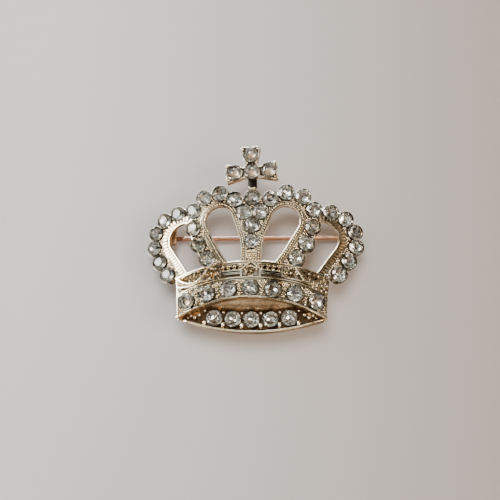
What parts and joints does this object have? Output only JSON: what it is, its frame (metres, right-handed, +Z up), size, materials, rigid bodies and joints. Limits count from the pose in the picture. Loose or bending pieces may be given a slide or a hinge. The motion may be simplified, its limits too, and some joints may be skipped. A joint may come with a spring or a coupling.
{
  "type": "brooch",
  "caption": "Openwork domed crown brooch set with round clear stones, with a cross finial and a hinged pin with a turning safety catch on its back.",
  "frame": {"origin": "on the axis of the closed pin stem, at the middle of its straight part", "axes": "+Z up the crown to the cross, -Y out of the front with its stones, +X along the pin stem from the hinge to the point"},
  "size_m": [0.045, 0.0107, 0.0384],
  "materials": {
    "gold_plating": "polished pale champagne-gold plating over a cast white-metal alloy, darker in its recesses",
    "pin_metal": "drawn wire with a smooth rose-gold plating",
    "crystal": "clear faceted glass with a silver foil back"
  },
  "bodies": {
    "crown": {"crown_casting": "gold_plating", "gallery_strip": "gold_plating", "cross_finial": "gold_plating", "hinge_bracket": "gold_plating", "hinge_rivet": "pin_metal", "catch_housing": "gold_plating", "scallop_stone_l01": "crystal", "scallop_stone_l02": "crystal", "scallop_stone_l03": "crystal", "scallop_stone_l04": "crystal", "scallop_stone_l05": "crystal", "scallop_stone_l06": "crystal", "scallop_stone_l07": "crystal", "scallop_stone_l08": "crystal", "scallop_stone_l09": "crystal", "scallop_stone_l10": "crystal", "scallop_stone_r01": "crystal", "scallop_stone_r02": "crystal", "scallop_stone_r03": "crystal", "scallop_stone_r04": "crystal", "scallop_stone_r05": "crystal", "scallop_stone_r06": "crystal", "scallop_stone_r07": "crystal", "scallop_stone_r08": "crystal", "scallop_stone_r09": "crystal", "scallop_stone_r10": "crystal", "rib_stone_l1": "crystal", "rib_stone_l2": "crystal", "rib_stone_l3": "crystal", "rib_stone_r1": "crystal", "rib_stone_r2": "crystal", "rib_stone_r3": "crystal", "post_stone_1": "crystal", "post_stone_2": "crystal", "post_stone_3": "crystal", "post_stone_4": "crystal", "post_stone_5": "crystal", "band_stone_1": "crystal", "band_stone_2": "crystal", "band_stone_3": "crystal", "band_stone_4": "crystal", "band_stone_5": "crystal", "band_stone_6": "crystal", "band_stone_7": "crystal", "gallery_stone_1": "crystal", "gallery_stone_2": "crystal", "gallery_stone_3": "crystal", "gallery_stone_4": "crystal", "gallery_stone_5": "crystal", "cross_stone_1": "crystal", "cross_stone_2": "crystal", "cross_stone_3": "crystal", "cross_stone_4": "crystal"},
    "pin": {"pin_stem": "pin_metal"},
    "catch": {"catch_rotor": "gold_plating"}
  },
  "joints": [
    {"name": "pin_hinge", "type": "hinge", "parent": "crown", "child": "pin", "pos_m": [-0.018, 0, 0], "axis": [0, 0, 1], "range_deg": [0, 75]},
    {"name": "catch_lock", "type": "hinge", "parent": "crown", "child": "catch", "pos_m": [0.0191, 0, 0], "axis": [1, 0, 0], "range_deg": [0, 110]}
  ]
}
